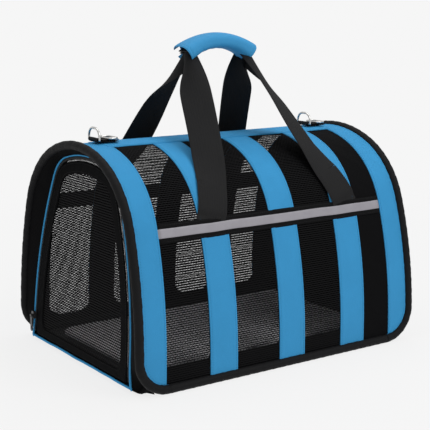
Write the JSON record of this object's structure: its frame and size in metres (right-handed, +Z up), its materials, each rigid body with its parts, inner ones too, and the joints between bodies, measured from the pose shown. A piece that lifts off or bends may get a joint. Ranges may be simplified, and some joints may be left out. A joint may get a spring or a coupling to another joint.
{
  "type": "pet transport carrier",
  "caption": "Soft arched pet carrier with mesh walls, a zipped mesh end door, padded edge welts, a floor pad and two webbing handles joined by a padded grip.",
  "frame": {"origin": "centre of the rectangle under the carrier, on the ground", "axes": "+X along the length, with the mesh door at the -X end; -Y is the front long side; +Z up"},
  "size_m": [0.4552, 0.332, 0.43],
  "materials": {
    "black_mesh": "open horizontal-rib polyester mesh, matte",
    "black_fabric": "woven polyester, matte",
    "blue_fabric": "coated woven polyester, soft sheen, stitched edges",
    "black_webbing": "ribbed polypropylene webbing",
    "reflective_tape": "grey retroreflective tape, fine grain",
    "pad_fabric": "ribbed short-pile cloth over foam",
    "door_mesh": "open honeycomb polyester mesh, matte",
    "frame_steel": "drawn spring wire",
    "fitting_steel": "nickel-plated, polished",
    "zip_metal": "dark lacquered die-casting",
    "board_plastic": "moulded sheet",
    "zip_nylon": "nylon coil"
  },
  "bodies": {
    "shell": {"back_bottom_welt": "black_fabric", "back_inner_facing": "black_fabric", "back_left_handle_anchor": "black_webbing", "back_left_handle_leg": "black_webbing", "back_left_stripe": "blue_fabric", "back_mesh_wall": "black_mesh", "back_middle_stripe": "blue_fabric", "back_reflective_strip": "reflective_tape", "back_right_handle_anchor": "black_webbing", "back_right_handle_leg": "black_webbing", "back_right_stripe": "blue_fabric", "back_tape": "black_fabric", "base_board": "board_plastic", "base_fabric": "black_fabric", "door_piping": "blue_fabric", "door_zip_coil": "zip_nylon", "door_zip_tape": "black_fabric", "front_bottom_welt": "black_fabric", "front_inner_facing": "black_fabric", "front_left_handle_anchor": "black_webbing", "front_left_handle_leg": "black_webbing", "front_left_stripe": "blue_fabric", "front_mesh_wall": "black_mesh", "front_middle_stripe": "blue_fabric", "front_reflective_strip": "reflective_tape", "front_right_handle_anchor": "black_webbing", "front_right_handle_leg": "black_webbing", "front_right_stripe": "blue_fabric", "front_solid_panel": "black_fabric", "front_tape": "black_fabric", "left_arch_welt": "black_fabric", "left_end_band": "blue_fabric", "left_frame_wire": "frame_steel", "left_gusset": "black_fabric", "left_ring_tab": "black_webbing", "left_tab_keeper": "fitting_steel", "ridge_band": "blue_fabric", "right_arch_welt": "black_fabric", "right_end_band": "blue_fabric", "right_end_panel": "black_fabric", "right_end_piping": "blue_fabric", "right_frame_wire": "frame_steel", "right_gusset": "black_fabric", "right_ring_tab": "black_webbing", "right_tab_keeper": "fitting_steel"},
    "door": {"door_mesh": "door_mesh", "door_border": "black_fabric"},
    "zip_slider": {"zip_slider": "zip_metal"},
    "zip_pull": {"zip_pull": "zip_metal"},
    "left_ring": {"left_d_ring": "fitting_steel"},
    "right_ring": {"right_d_ring": "fitting_steel"},
    "floor_pad": {"floor_pad": "pad_fabric"},
    "grip": {"grip_wrap": "blue_fabric", "grip_closure": "blue_fabric", "grip_webbing_upper": "black_webbing", "grip_webbing_lower": "black_webbing"}
  },
  "joints": [
    {"name": "door_hinge", "type": "hinge", "parent": "shell", "child": "door", "pos_m": [-0.2216, 0, 0.0105], "axis": [0, -1, 0], "range_deg": [0, 90]},
    {"name": "slider_travel", "type": "slide", "parent": "shell", "child": "zip_slider", "axis": [0.0696, -0.0726, 0.9949], "range_m": [0, 0.06]},
    {"name": "pull_swing", "type": "hinge", "parent": "zip_slider", "child": "zip_pull", "pos_m": [-0.22634, 0.1296, 0.038], "axis": [0, 1, 0], "range_deg": [0, 165]},
    {"name": "left_ring_swing", "type": "hinge", "parent": "shell", "child": "left_ring", "pos_m": [-0.19, 0, 0.29725], "axis": [0, 1, 0], "range_deg": [-75, 65]},
    {"name": "right_ring_swing", "type": "hinge", "parent": "shell", "child": "right_ring", "pos_m": [0.157, 0, 0.29725], "axis": [0, 1, 0], "range_deg": [-75, 65]},
    {"name": "pad_lift", "type": "slide", "parent": "shell", "child": "floor_pad", "axis": [0, 0, 1], "range_m": [0, 0.06]},
    {"name": "handle_drop", "type": "slide", "parent": "shell", "child": "grip", "axis": [0, 0, -1], "range_m": [0, 0.045], "deforming": ["front_left_handle_leg", "front_right_handle_leg", "back_left_handle_leg", "back_right_handle_leg"]}
  ]
}
